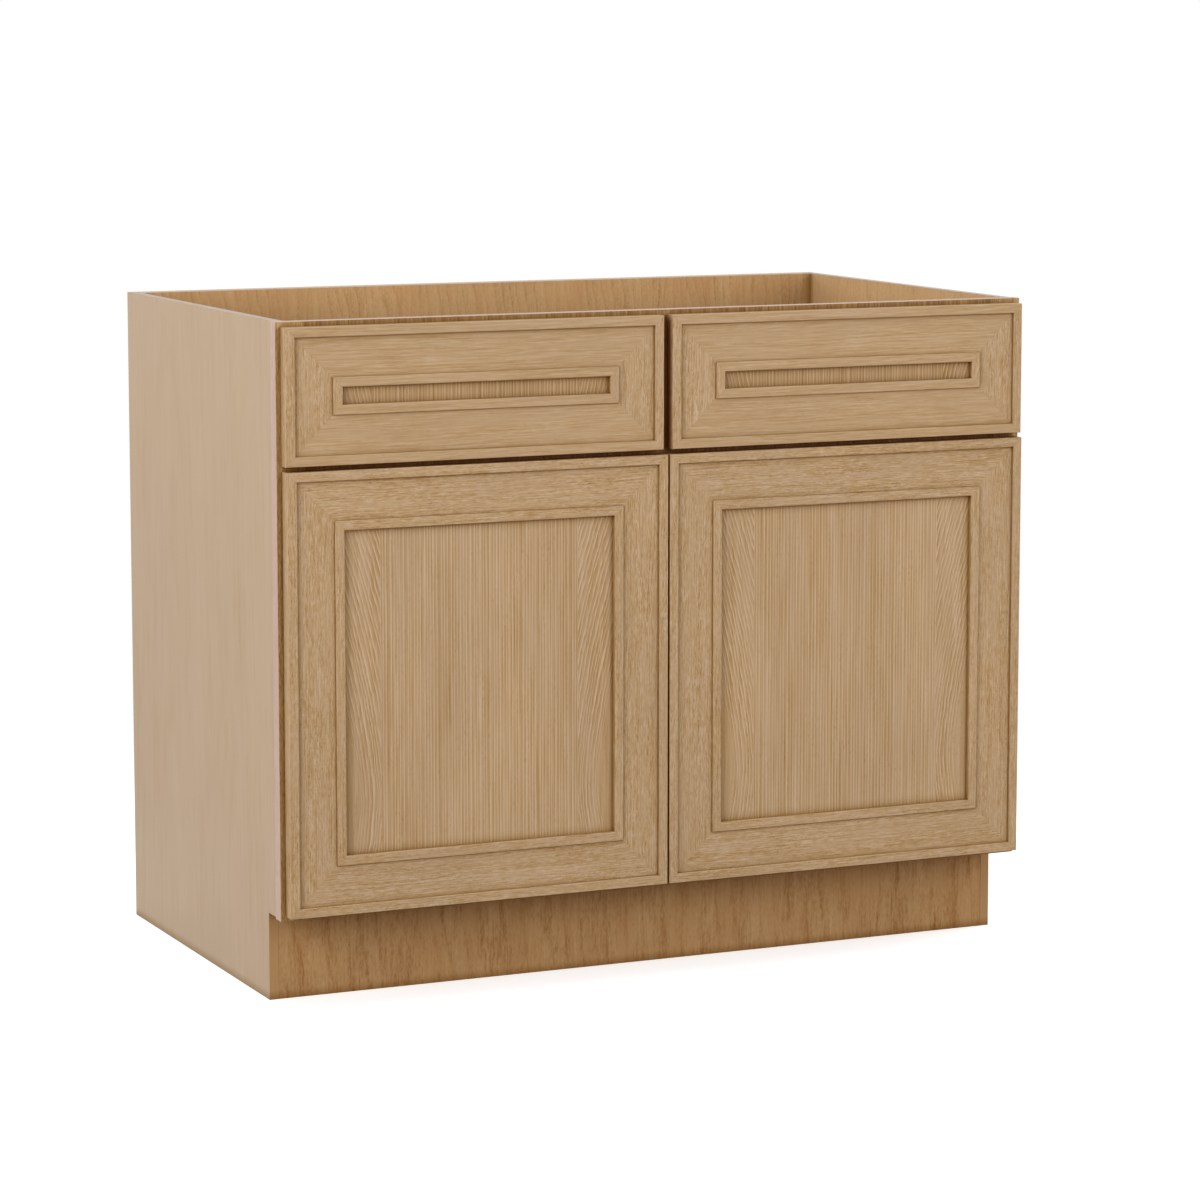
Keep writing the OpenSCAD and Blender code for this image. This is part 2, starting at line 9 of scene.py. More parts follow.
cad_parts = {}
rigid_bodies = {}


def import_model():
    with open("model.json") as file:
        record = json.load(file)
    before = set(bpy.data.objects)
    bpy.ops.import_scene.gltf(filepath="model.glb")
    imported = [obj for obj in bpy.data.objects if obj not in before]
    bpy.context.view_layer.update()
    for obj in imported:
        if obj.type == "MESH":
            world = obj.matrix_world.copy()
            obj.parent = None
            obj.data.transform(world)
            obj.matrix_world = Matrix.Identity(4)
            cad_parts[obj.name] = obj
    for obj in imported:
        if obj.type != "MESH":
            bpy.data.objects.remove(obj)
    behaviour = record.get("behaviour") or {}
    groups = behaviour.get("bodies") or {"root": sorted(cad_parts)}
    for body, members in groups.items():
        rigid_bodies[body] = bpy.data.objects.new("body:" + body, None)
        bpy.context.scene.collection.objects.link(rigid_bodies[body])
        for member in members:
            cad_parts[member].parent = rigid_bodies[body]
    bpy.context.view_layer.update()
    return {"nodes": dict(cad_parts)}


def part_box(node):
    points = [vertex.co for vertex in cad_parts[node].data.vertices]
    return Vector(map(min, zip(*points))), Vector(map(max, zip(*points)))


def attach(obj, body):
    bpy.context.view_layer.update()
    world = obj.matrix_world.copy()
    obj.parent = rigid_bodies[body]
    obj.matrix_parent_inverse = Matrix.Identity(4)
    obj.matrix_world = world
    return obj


for start_object in list(bpy.data.objects):
    bpy.data.objects.remove(start_object)

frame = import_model()

SIDES = ("left", "right")
MM = 0.001
AXES = "xyz"

# The photographed view. The place is measured from the middle of the face frame's front, at the floor.
CAMERA_TURN = math.radians(-24.39)
CAMERA_PITCH = math.radians(-7.188)
CAMERA_PLACE = Vector((-2.2633, -4.7953, 1.259))
CAMERA_LENS = 122.636
CAMERA_SHIFT = -0.06
CAMERA_REACH = 60

# Strength of the world light on matt surfaces, and the lamps: place, width in m and power in W
WORLD_LIGHT = 0.5
LAMPS = {
    "key": ((-4.6, -2.5, 2.2), 2.6, 150),
    "fill": ((2.6, -4.6, 2.0), 2.6, 93),
    "top": ((0, 0.2, 4.4), 2.4, 32),
    "back": ((-3.0, 4.6, 2.6), 2.6, 80),
    "right": ((4.8, 1.2, 2.2), 2.6, 100)}
LAMP_TARGET = Vector((0, 0, 0.45))

# How far the floor reaches, and the distances from its middle between which it fades to plain white
FLOOR_REACH = 14
SHADOW_NEAR = 0.9
SHADOW_FAR = 1.6

# A slide: its drawer plate's distance from the cabinet side, the inner face of that plate, the thickness
# of the cabinet member, and the races: distance from the cabinet side, height from the middle of the
# slide, and radius of the balls
SLIDE_PLATE_SET = 7.0 * MM
SLIDE_WEB_FACE = 11.5 * MM
SLIDE_CABINET_WEB = 1.2 * MM
BALL_RACES = ((4.9 * MM, 19.25 * MM, 2.37 * MM), (8.5 * MM, 13.75 * MM, 1.87 * MM))
# Balls along a race: the first one from the front end, the spacing, and the free length at the rear
BALL_FIRST = 30 * MM
BALL_STEP = 26 * MM
BALL_FREE = 20 * MM

# Screws of a slide: in the box side, from the front and one from the rear; in the cabinet member, a pair
# near the front, each this far from the middle line, and one from the rear
BOX_SCREWS = (38 * MM, 166 * MM, 294 * MM)
BOX_REAR_SCREW = 45 * MM
CABINET_PAIR = 8 * MM
CABINET_PAIR_LIFT = 6 * MM
CABINET_REAR_SCREW = 20 * MM
# Screws of a rear bracket: thickness of its foot, and their distance from the slide and from the middle
BRACKET_FOOT = 2 * MM
BRACKET_SCREW_SET = 8.5 * MM
BRACKET_SCREW_LIFT = 20.5 * MM
# Screws of a hinge: half the height of the cup's ears, how far their screws lie from the ears' ends and
# from their outer side, the thickness of the arm's plate, and how far its screws lie from its middle
EAR_HALF = 26 * MM
EAR_END = 4.6 * MM
EAR_MIDDLE = 7.5 * MM
ARM_PLATE = 1.8 * MM
ARM_SCREW = 16 * MM
# Screws of a drawer front, as shares of the box front's width and height
FRONT_SCREWS_ACROSS = (0.14, 0.86)
FRONT_SCREWS_UP = (0.42, 0.78)

# Radius and height of the screw heads
HINGE_HEAD = (3.4 * MM, 1.7 * MM)
BOX_HEAD = (3.2 * MM, 1.5 * MM)
CABINET_HEAD = (3.0 * MM, 1.2 * MM)
BRACKET_HEAD = (3.2 * MM, 1.6 * MM)
FRONT_HEAD = (4.2 * MM, 2.0 * MM)
# A head's outline from the foot to the flat top, as shares of its radius and height
HEAD_OUTLINE = ((1, -0.1), (1, 0.45), (0.86, 0.85), (0.6, 1))
HEAD_STEPS = 20
# Its cross recess, as shares of the head's radius, its height, and the width of the recess at the top
RECESS_ARM = 0.46
RECESS_HALF = 0.11
RECESS_FLOOR = 0.4
RECESS_DRAFT = 0.8

# A staple, in mm: width, width and thickness of its flat wire, height of its crown, a shoulder from the
# leg to the crown as distances from the end and from the wood, and the wire's section as shares of half
# its width and of its thickness
STAPLE_WIDTH = 11
STAPLE_WIRE = 1.2
STAPLE_DEPTH = 0.7
STAPLE_CROWN = 0.6
STAPLE_SHOULDER = ((0, -0.6), (0.1, 0.25), (0.5, STAPLE_CROWN))
STAPLE_SECTION = ((-1, 0), (1, 0), (0.8, 1), (-0.8, 1))
# The columns of staples: distance from the side panels and from the lower and upper rail, and spaces
STAPLE_COLUMN = 9 * MM
STAPLE_LOWEST = 45 * MM
STAPLE_HIGHEST = 40 * MM
STAPLE_SPACES = 5


def srgb(red, green, blue):
    """Linear colour with alpha, from the 0 to 255 values of a screen."""
    def linear(value):
        value /= 255
        return value / 12.92 if value <= 0.04045 else ((value + 0.055) / 1.055) ** 2.4
    return linear(red), linear(green), linear(blue), 1


class Graph:
    """The shader nodes of one material."""

    def __init__(self, name):
        self.material = bpy.data.materials.new(name)
        self.material.use_nodes = True
        self.tree = self.material.node_tree
        self.tree.nodes.clear()

    def add(self, kind, settings=(), **inputs):
        """Adds a node. An input is named as in Blender, with _ for a space, or i and its number."""
        node = self.tree.nodes.new("ShaderNode" + kind)
        for key, value in dict(settings).items():
            setattr(node, key, value)
        for key, value in inputs.items():
            name = int(key[1:]) if key[0] == "i" and key[1:].isdigit() else key.replace("_", " ")
            socket = node.inputs[name]
            if isinstance(value, bpy.types.NodeSocket):
                self.tree.links.new(value, socket)
            else:
                socket.default_value = value
        return node

    def math(self, operation, first, second=0.0):
        return self.add("Math", {"operation": operation}, i0=first, i1=second).outputs[0]

    def sum(self, first, *others):
        for other in others:
            first = self.math("ADD", first, other)
        return first

    def product(self, first, *others):
        for other in others:
            first = self.math("MULTIPLY", first, other)
        return first

    def vector_math(self, operation, first, second=(0, 0, 0), **inputs):
        return self.add("VectorMath", {"operation": operation}, i0=first, i1=second, **inputs)

    def mix(self, factor, first, second, blend="MIX"):
        settings = {"data_type": "RGBA", "blend_type": blend}
        return self.add("Mix", settings, i0=factor, i6=first, i7=second).outputs[2]

    def choose(self, factor, first, second):
        """The first number where the factor is 0, and the second where it is 1."""
        return self.add("Mix", {"data_type": "FLOAT"}, i0=factor, i2=first, i3=second).outputs[0]

    def ramp(self, value, *stops):
        """Grey value that follows the stops, each a place and a height."""
        node = self.add("ValToRGB", Fac=value)
        elements = node.color_ramp.elements
        while len(elements) < len(stops):
            elements.new(1)
        for element, (place, height) in zip(elements, stops):
            element.position = place
            element.color = (height, height, height, 1)
        return node.outputs[0]

    def noise(self, vector, size, seed=0.0, detail=2.0, roughness=0.5):
        """Noise whose grains have the given size in mm across, along and through the board."""
        scale = [1 / length for length in size]
        placed = self.add("Mapping", Vector=vector, Location=(seed, seed * 1.7, seed * 0.6), Scale=scale)
        return self.add(
            "TexNoise", Vector=placed.outputs[0], Scale=1.0, Detail=detail, Roughness=roughness).outputs[0]

    def centred(self, value, strength):
        """A value from 0 to 1, moved to lie round zero with the given strength."""
        return self.math("MULTIPLY", self.math("SUBTRACT", value, 0.5), strength)

    def place_in_mm(self):
        place = self.add("TexCoord").outputs["Object"]
        return self.vector_math("MULTIPLY", place, (1 / MM,) * 3).outputs[0]

    def finish(self, shader):
        self.add("OutputMaterial", Surface=shader.outputs[0])
        return self.material


# The woods, with lengths in mm. A wood shades from dark over base to light. Its growth rings have a
# spacing, a strength and a profile, which gives the shade of a ring from its start to its end, and they
# warp by a distance over patches of the warp size. A layer is the size of its streaks, across and along
# the board, and their strength. Blush is the colour, size and strength of patches of another hue, tone
# the strength of broad light and dark patches, and rough the roughness of the lacquer.
DRAWER_OAK = {
    "dark": srgb(163, 128, 77), "base": srgb(184, 155, 117), "light": srgb(201, 178, 152),
    "blush": srgb(186, 158, 127), "blush_size": (11, 150, 11), "blush_strength": 0.4,
    "ring": 4.4, "ring_strength": 0.22,
    "profile": ((0.0, 0.1), (0.14, 0.35), (0.55, 0.5), (0.74, 1.0), (0.9, 0.85), (1.0, 0.1)),
    "warp": 6.0, "warp_size": (30, 150, 30),
    "layers": ((1.4, 22, 0.5), (2.0, 60, 0.65), (7, 220, 0.24)),
    "pore": srgb(126, 96, 58), "pore_size": (0.8, 7, 0.8), "pore_strength": 0.3,
    "tone": 0.05, "rough": 0.52}
DOOR_OAK = dict(
    DRAWER_OAK, ring=3.4, ring_strength=0.3,
    layers=((1.1, 10, 0.75), (1.7, 13, 0.8), (2.2, 55, 0.75), (10, 220, 0.25)),
    pore=srgb(120, 90, 50), pore_size=(0.9, 4.5, 0.9), pore_strength=0.75, tone=0.07)
PANEL_OAK = dict(
    DRAWER_OAK, ring=4.6, ring_strength=1.0, warp=1.2, warp_size=(26, 300, 26),
    layers=((1.9, 80, 0.65), (2.6, 200, 0.4), (20, 300, 0.35)), pore_strength=0.5, tone=0.08)
# The slot panel's oak is painted darker than the door panels' oak, as painted shade of its recess
SHADED_SLOT_OAK = dict(
    PANEL_OAK, dark=srgb(152, 116, 66), base=srgb(175, 144, 104), light=srgb(194, 168, 136),
    blush=srgb(178, 147, 110))
# The face frame's oak in a shaded and a lit copy: the rails and mullion painted darker, as painted shade of
# the gaps between the fronts, and the stiles below painted lighter, as painted light from the left
SHADED_FRAME_OAK = dict(
    DRAWER_OAK, dark=srgb(114, 81, 43), base=srgb(158, 123, 78), light=srgb(188, 156, 110),
    blush=srgb(160, 126, 84),
    ring=5.0, ring_strength=0.3, layers=((2.4, 40, 0.95), (5, 100, 0.4), (14, 260, 0.25)))
LIT_STILE_OAK = dict(
    SHADED_FRAME_OAK, dark=srgb(132, 99, 54), base=srgb(186, 154, 106), light=srgb(212, 183, 136),
    blush=srgb(184, 154, 110), layers=((1.4, 8, 1.0), (2.4, 40, 0.6), (14, 260, 0.25)))
MAPLE = {
    "dark": srgb(152, 108, 63), "base": srgb(185, 149, 104), "light": srgb(200, 166, 123),
    "blush": srgb(181, 139, 93), "blush_size": (40, 160, 40), "blush_strength": 0.4,
    "ring": 13.0, "ring_strength": 0.42,
    "profile": ((0.0, 0.1), (0.1, 0.45), (0.3, 0.5), (0.62, 0.6), (0.8, 0.78), (0.92, 0.5), (1.0, 0.1)),
    "warp": 14.0, "warp_size": (50, 120, 50),
    "layers": ((1.5, 5, 0.5), (4, 50, 0.3), (34, 120, 0.3)),
    "pore": srgb(140, 92, 50), "pore_size": (0.9, 6, 0.9), "pore_strength": 0.35,
    "tone": 0.05, "rough": 0.45}
SIDE_MAPLE = dict(
    MAPLE, dark=srgb(156, 114, 70), base=srgb(185, 151, 108), light=srgb(199, 167, 125),
    blush=srgb(186, 152, 110), ring_strength=0.2)
# The toe board's maple: its own figure, with darker, warmer colours that are painted shade under the doors'
# overhang
SHADED_TOE_MAPLE = dict(
    MAPLE, dark=srgb(138, 88, 42), base=srgb(176, 138, 93), light=srgb(194, 159, 116),
    blush=srgb(171, 130, 84), ring=27.0, ring_strength=0.42, warp=16.0, warp_size=(60, 130, 60),
    profile=((0.0, 0.1), (0.12, 0.42), (0.4, 0.6), (0.86, 0.5), (1.0, 0.1)),
    layers=((2.2, 7, 0.5), (3.6, 46, 0.5), (26, 110, 0.5)), pore_strength=0.06, tone=0.06)
PALE_VENEER = dict(
    MAPLE, dark=srgb(164, 136, 104), base=srgb(181, 158, 130), light=srgb(191, 172, 147),
    blush=srgb(182, 160, 134),
    ring=22.0, ring_strength=0.12, warp=10.0, warp_size=(70, 300, 70),
    layers=((1.8, 60, 0.35), (6, 200, 0.2), (40, 200, 0.25)), pore=srgb(160, 132, 104),
    pore_strength=0.25, tone=0.035, rough=0.42)
BIRCH = dict(
    MAPLE, dark=srgb(196, 166, 122), base=srgb(216, 190, 150), light=srgb(230, 208, 172),
    blush=srgb(214, 184, 143),
    ring=12.0, ring_strength=0.3, warp=12.0, layers=((2.0, 22, 0.3), (5, 60, 0.3), (34, 170, 0.25)),
    pore=srgb(176, 140, 96), pore_strength=0.2, tone=0.07)

# Flame figure in a strip along both edges of a panel, in mm: the width of the strip, the slope of its
# rings at the waist and the curve by which that grows with height, the close spacing of the rings at the
# waist and its spread with height, how soft the waist is, and how many rings show
DOOR_FLAME = {
    "strip": 59, "slope": 0.1, "curve": 0.0004, "close": 4.4, "spread": 0.004, "soft": 25, "rings": 4.6}
SLOT_FLAME = {
    "strip": 50, "slope": 0.27, "curve": 0.0, "close": 4.2, "spread": 0.01, "soft": 10, "rings": 30}
FLAME_STRENGTH = 1.5
# The flame's rings fade out over this many rings, waver by this distance and break up over these patches
FLAME_FADE = 2
FLAME_WAVER = 3.6
FLAME_WAVER_SIZE = (9, 38, 9)
FLAME_BREAK_SIZE = (5, 32, 5)
FLAME_BREAKS = ((0.36, 0.3), (0.62, 1.1))

# Pores, as places and heights of ramps: where they crowd, where one begins, and their share over a ring
PORE_CROWD = ((0.35, 0.25), (0.65, 1.0))
PORE_MARK = ((0.54, 0.0), (0.68, 1.0))
PORE_RING = ((0.0, 1.0), (0.3, 0.7), (0.6, 0.25), (1.0, 0.9))
END_GRAIN_DARK = 0.18

# Pale colours of narrow faces and edges, from dark to light
PINK_EDGE = (srgb(184, 157, 144), srgb(198, 174, 163))
BANDED_EDGE = (srgb(166, 128, 84), srgb(186, 148, 104))
PALE_END = (srgb(164, 146, 132), srgb(180, 163, 150))
PLY_ALONG = (srgb(194, 166, 128), srgb(222, 200, 168))
PLY_ACROSS = (srgb(150, 112, 74), srgb(188, 152, 110))

# Painted shade in creases and in deep gaps, where little light reaches: its colour, the distance in mm
# within which anything hides the sky, and its strength by how much of the sky is left
PAINTED_CREASE_SHADE = (
    (srgb(200, 182, 134), 13, ((0.45, 1.0), (0.72, 0.6), (0.97, 0.0))),
    (srgb(204, 134, 48), 30, ((0.04, 1.0), (0.25, 0.5), (0.5, 0.0))))
# Outer corners: their radius in mm, strength by how much a corner turns, and the shares of dark on wood,
# which is worn finish and painted shade of eased edges turned from the light, and of bright on worn metal
CORNER_RADIUS = 0.9
CORNER_TURN = ((0.86, 1.0), (0.985, 0.0))
CORNER_WEAR_AND_SHADE = 0.4
WORN_METAL = 0.5
LACQUER = {"Specular IOR Level": 0.12, "Coat Weight": 0.03, "Coat Roughness": 0.35}

# Least share of a surface's direction that counts as facing an axis, and the depth of a rim in mm
FACING = 0.7
RIM_DEPTH = 0.5
# The distance within which corners are welded before edges are eased, the least turn of an eased edge,
# and the least turn that stays crisp on a screw
WELD = 0.01 * MM
EASED_TURN = math.radians(38)
CRISP_TURN = math.radians(32)


class Board:
    """Coordinates and masks of one board, whose axes say what runs across, along and through it."""

    def __init__(self, graph, box, axes):
        low, high = box
        centre = (low + high) / 2
        self.graph = graph
        self.axes = axes
        self.centre = centre
        self.size = [(high - low)[AXES.index(axis)] / MM for axis in axes]
        coordinates = graph.add("TexCoord")
        moved = graph.vector_math("SUBTRACT", coordinates.outputs["Object"], centre)
        scaled = graph.vector_math("MULTIPLY", moved.outputs[0], (1 / MM,) * 3)
        self.parts = graph.add("SeparateXYZ", i0=scaled.outputs[0]).outputs
        self.across, self.along, self.depth = (self.parts[AXES.index(axis)] for axis in axes)
        self.normal = graph.add("SeparateXYZ", i0=coordinates.outputs["Normal"]).outputs
        self.place = graph.add("CombineXYZ", i0=self.across, i1=self.along, i2=self.depth).outputs[0]

    def facing(self, axis):
        """1 where the surface faces either way along the axis, else 0."""
        turned = self.graph.math("ABSOLUTE", self.normal[AXES.index(axis)])
        return self.graph.math("GREATER_THAN", turned, FACING)

    def end_grain(self):
        return self.facing(self.axes[1])

    def inner_face(self):
        """1 on the wide face that looks to the middle of the cabinet."""
        axis = AXES.index(self.axes[2])
        outward = 1 if self.centre[axis] > 0 else -1
        turned = self.graph.math("MULTIPLY", self.normal[axis], outward)
        return self.graph.math("LESS_THAN", turned, -FACING)

    def edge(self):
        """1 on the narrow faces, where the surface doesn't face through the board."""
        return self.graph.math("SUBTRACT", 1.0, self.facing(self.axes[2]))

    def rim(self, low, high):
        """1 on the narrow faces that also lie on the sides, top or bottom of the given box."""
        graph = self.graph
        near = 0.0
        for axis in (0, 2):
            offset = (self.centre[axis] - (low[axis] + high[axis]) / 2) / MM
            reach = (high[axis] - low[axis]) / 2 / MM - RIM_DEPTH
            distance = graph.math("ABSOLUTE", graph.math("ADD", self.parts[axis], offset))
            near = graph.math("MAXIMUM", near, graph.math("GREATER_THAN", distance, reach))
        return graph.math("MULTIPLY", near, self.edge())


def ring_warp(board, wood, seed):
    """How far the rings wander in broad bends, in mm. Every noise of a wood adds its own number to the
    board's seed."""
    bends = board.graph.noise(board.place, wood["warp_size"], seed, 1.5)
    return board.graph.centred(bends, wood["warp"] * 2)


def pith_rings(board, wood, seed, pith, tilt):
    """Distance in rings from a pith that lies across and through the board by the given mm, and leans
    through it by the tilt for every mm along it."""
    graph = board.graph
    bend = ring_warp(board, wood, seed)
    ripple_size = [length / 6 for length in wood["warp_size"]]
    ripple = graph.centred(graph.noise(board.place, ripple_size, seed + 7, 1.0), wood["warp"] * 0.3)
    across = graph.sum(board.across, -pith[0], bend, ripple)
    through = graph.sum(graph.product(board.along, tilt), pith[1], board.depth)
    squared = graph.sum(graph.math("POWER", across, 2.0), graph.math("POWER", through, 2.0))
    return graph.math("DIVIDE", graph.math("SQRT", squared), wood["ring"])


def flame_rings(board, wood, seed, flame, waist):
    """Straight rings, with a strip along both edges where they fan out above and below the waist. Also
    gives how strongly they show, which is 0 in the plain heart between the strip's rings and the edge."""
    graph = board.graph
    across = graph.math("SUBTRACT", board.size[0] / 2, graph.math("ABSOLUTE", board.across))
    bend = ring_warp(board, wood, seed)
    straight = graph.math("DIVIDE", graph.sum(across, bend), wood["ring"])
    rise = graph.math("SUBTRACT", board.along, waist)
    rise = graph.math("SQRT", graph.sum(graph.math("POWER", rise, 2.0), flame["soft"] ** 2))
    spacing = graph.sum(graph.product(rise, flame["spread"]), flame["close"])
    inward = graph.math("SUBTRACT", flame["strip"], across)
    slope = graph.sum(graph.product(rise, flame["curve"]), flame["slope"])
    waver = graph.centred(graph.noise(board.place, FLAME_WAVER_SIZE, seed + 4, 1.0), FLAME_WAVER)
    sloped = graph.math("SUBTRACT", graph.sum(inward, bend, waver), graph.product(rise, slope))
    fanned = graph.math("DIVIDE", sloped, spacing)
    in_strip = graph.math("GREATER_THAN", inward, 0.0)
    last_ring = flame["rings"]
    heart = graph.add("MapRange", Value=fanned, From_Min=last_ring, From_Max=last_ring + FLAME_FADE)
    broken = graph.ramp(graph.noise(board.place, FLAME_BREAK_SIZE, seed + 8, 2.0), *FLAME_BREAKS)
    flamed = graph.product(graph.math("SUBTRACT", 1.0, heart.outputs[0]), broken, FLAME_STRENGTH)
    return graph.choose(in_strip, straight, fanned), graph.choose(in_strip, 1.0, flamed)


def wood_shade(board, wood, seed, ring, shown, end):
    """Paleness from 0 to 1: a ring's profile, as far as it is shown, layers of streaks and end grain."""
    graph = board.graph
    line = graph.centred(graph.ramp(ring, *wood["profile"]), wood["ring_strength"])
    shade = graph.sum(0.5, graph.product(line, shown))
    for number, (across, along, strength) in enumerate(wood["layers"]):
        streak = graph.noise(board.place, (across, along, across), seed + 11 * (number + 1), 2.0, 0.6)
        shade = graph.sum(shade, graph.centred(streak, strength * 1.6))
    speckle = graph.noise(board.place, (0.9, 4, 0.9), seed + 5, 2.0)
    return graph.sum(shade, graph.product(end, graph.centred(speckle, 1.2)))


def wood_pores(board, wood, seed, ring):
    """1 in the pores, which crowd in patches and in the early part of a ring."""
    graph = board.graph
    crowd = graph.ramp(graph.noise(board.place, (14, 70, 14), seed + 19, 1.0), *PORE_CROWD)
    marks = graph.ramp(graph.noise(board.place, wood["pore_size"], seed + 2, 1.0), *PORE_MARK)
    return graph.product(marks, graph.ramp(ring, *PORE_RING), crowd)


def wood_colour(board, wood, seed, rings, shown=1.0):
    """Colour, paleness and pores of a wood whose growth is given in rings, as far as these are shown."""
    graph = board.graph
    line = graph.add("CombineXYZ", i0=rings).outputs[0]
    uneven = graph.centred(graph.noise(line, (2.7, 1, 1), seed + 3, 1.0), 1.8)
    ring = graph.math("FRACT", graph.sum(rings, uneven))
    end = board.end_grain()
    shade = wood_shade(board, wood, seed, ring, shown, end)
    pores = wood_pores(board, wood, seed, ring)
    tint = graph.add("ValToRGB", Fac=shade)
    colours = tint.color_ramp.elements
    colours[0].color = wood["dark"]
    colours[1].color = wood["light"]
    colours.new(0.5).color = wood["base"]
    colour = graph.mix(graph.product(pores, wood["pore_strength"]), tint.outputs[0], wood["pore"])
    patch = graph.noise(board.place, wood["blush_size"], seed + 29, 1.0)
    patch = graph.ramp(patch, (0.42, 0.0), (0.64, wood["blush_strength"]))
    colour = graph.mix(patch, colour, wood["blush"])
    tone = graph.centred(graph.noise(board.place, (90, 240, 90), seed + 23, 1.0), wood["tone"] * 2)
    tone = graph.math("SUBTRACT", graph.sum(1.0, tone), graph.product(end, END_GRAIN_DARK))
    return graph.vector_math("SCALE", colour, Scale=tone).outputs[0], shade, pores


def wood_material(name, axes, wood, seed, pith=(90.0, 30.0), tilt=0.06, flame=None, waist=0.0,
                  plies=0, edges=None, rim=None, ends=None, inside=None):
    """Lacquered wood of one node, with a pith and tilt as in pith_rings. A flame and its waist ask for a
    flamed panel, plies and edges change the narrow faces, rim those on the outside of a box, ends those
    across the grain, and inside gives the wood of the face that looks to the middle of the cabinet."""
    graph = Graph(name)
    board = Board(graph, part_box(name), axes)
    if flame:
        rings, shown = flame_rings(board, wood, seed, flame, waist)
    else:
        rings, shown = pith_rings(board, wood, seed, pith, tilt), 1.0
    colour, shade, pores = wood_colour(board, wood, seed, rings, shown)
    if inside:
        inner = wood_colour(board, inside, seed + 1, pith_rings(board, inside, seed + 1, pith, tilt))[0]
        colour = graph.mix(board.inner_face(), colour, inner)
    if plies:
        colour = ply_edge(board, colour, plies, seed)
    if edges:
        colour = graph.mix(board.edge(), colour, graph.mix(shade, *edges))
    if rim:
        colour = graph.mix(board.rim(*rim), colour, graph.mix(shade, *PINK_EDGE))
    if ends:
        colour = graph.mix(board.end_grain(), colour, graph.mix(shade, *ends))
    # Painted shade and wear: outer corners darkened toward the wood's dark colour
    colour = graph.mix(graph.product(outer_corners(graph), CORNER_WEAR_AND_SHADE), colour, wood["dark"])
    # Painted shade: the colour darkens in creases and deep gaps, as far as the sky is hidden there
    for tint, reach, strength in PAINTED_CREASE_SHADE:
        colour = graph.mix(crease_shade_mask(graph, reach, strength), colour, tint, "MULTIPLY")
    height = graph.math("SUBTRACT", graph.product(shade, 0.4), pores)
    bump = graph.add("Bump", Strength=0.3, Distance=0.15 * MM, Height=height)
    rough = graph.sum(wood["rough"], graph.centred(shade, -0.12))
    shader = graph.add("BsdfPrincipled", Base_Color=colour, Roughness=rough, Normal=bump.outputs[0])
    for socket, value in LACQUER.items():
        shader.inputs[socket].default_value = value
    return graph.finish(shader)


def crease_shade_mask(graph, reach, strength):
    """Strength of the painted shade in creases and gaps: a ramp over how open the surface is to the sky,
    where only what lies within reach hides it.
    """
    sky = graph.add("AmbientOcclusion", {"samples": 6}, Distance=reach * MM).outputs["AO"]
    return graph.ramp(sky, *strength)


def outer_corners(graph):
    """1 along outer corners and 0 on flat faces. On wood the corners darken as worn finish and painted
    shade, on metal they brighten as wear.
    """
    rounded = graph.add("Bevel", {"samples": 4}, Radius=CORNER_RADIUS * MM)
    true = graph.add("NewGeometry").outputs["Normal"]
    turn = graph.vector_math("DOT_PRODUCT", rounded.outputs[0], true).outputs["Value"]
    return graph.ramp(turn, *CORNER_TURN)


def ply_edge(board, colour, plies, seed):
    """The layers of plywood on the narrow faces: long grain and darker end grain by turns."""
    graph = board.graph
    layer = graph.product(graph.math("DIVIDE", board.depth, board.size[2]), plies / 2)
    crossed = graph.math("GREATER_THAN", graph.math("FRACT", graph.sum(layer, 0.25)), 0.5)
    speckle = graph.noise(board.place, (0.7, 0.7, 0.7), seed + 41, 2.0)
    streak = graph.noise(board.place, (6, 30, 0.6), seed + 43, 2.0)
    layers = graph.mix(crossed, graph.mix(streak, *PLY_ALONG), graph.mix(speckle, *PLY_ACROSS))
    return graph.mix(board.edge(), colour, layers)


def metal_material(name, colour, rough, grain):
    """Plated steel with a fine drawn grain, cloudy plating and a few rubbed spots."""
    graph = Graph(name)
    place = graph.place_in_mm()
    drawn = graph.noise(place, grain, 3, 3.0, 0.6)
    cloud = graph.noise(place, (9, 9, 9), 8, 2.0)
    dull = [part * 0.82 for part in colour[:3]] + [1]
    tint = graph.mix(cloud, dull, colour)
    tint = graph.mix(graph.product(outer_corners(graph), WORN_METAL), tint, srgb(225, 225, 225))
    bump = graph.add("Bump", Strength=0.15, Distance=0.05 * MM, Height=drawn)
    shader = graph.add(
        "BsdfPrincipled", Base_Color=tint, Metallic=1.0, Normal=bump.outputs[0],
        Roughness=graph.sum(rough, graph.centred(drawn, 0.18)))
    return graph.finish(shader)


def soft_material(name, colour, shade, rough, transmission=0.0):
    """Moulded plastic or rubber: slight clouding of the colour and a fine moulded texture."""
    graph = Graph(name)
    place = graph.place_in_mm()
    cloud = graph.noise(place, (7, 7, 7), 4, 3.0)
    skin = graph.noise(place, (0.35, 0.35, 0.35), 9, 2.0)
    bump = graph.add("Bump", Strength=0.2, Distance=0.05 * MM, Height=skin)
    shader = graph.add(
        "BsdfPrincipled", Base_Color=graph.mix(cloud, shade, colour), Normal=bump.outputs[0],
        Roughness=graph.sum(rough, graph.centred(skin, 0.1)))
    shader.inputs["Transmission Weight"].default_value = transmission
    return graph.finish(shader)


def dress(name, material, ease=0.5):
    """Gives a CAD node its material and eases its edges by the given width in mm."""
    node = frame["nodes"][name]
    node.data.materials.clear()
    node.data.materials.append(material)
    weld = node.modifiers.new("weld", "WELD")
    weld.merge_threshold = WELD
    bevel = node.modifiers.new("eased_edges", "BEVEL")
    bevel.width = ease * MM
    bevel.segments = 2
    bevel.limit_method = "ANGLE"
    bevel.angle_limit = EASED_TURN
    bevel.harden_normals = True


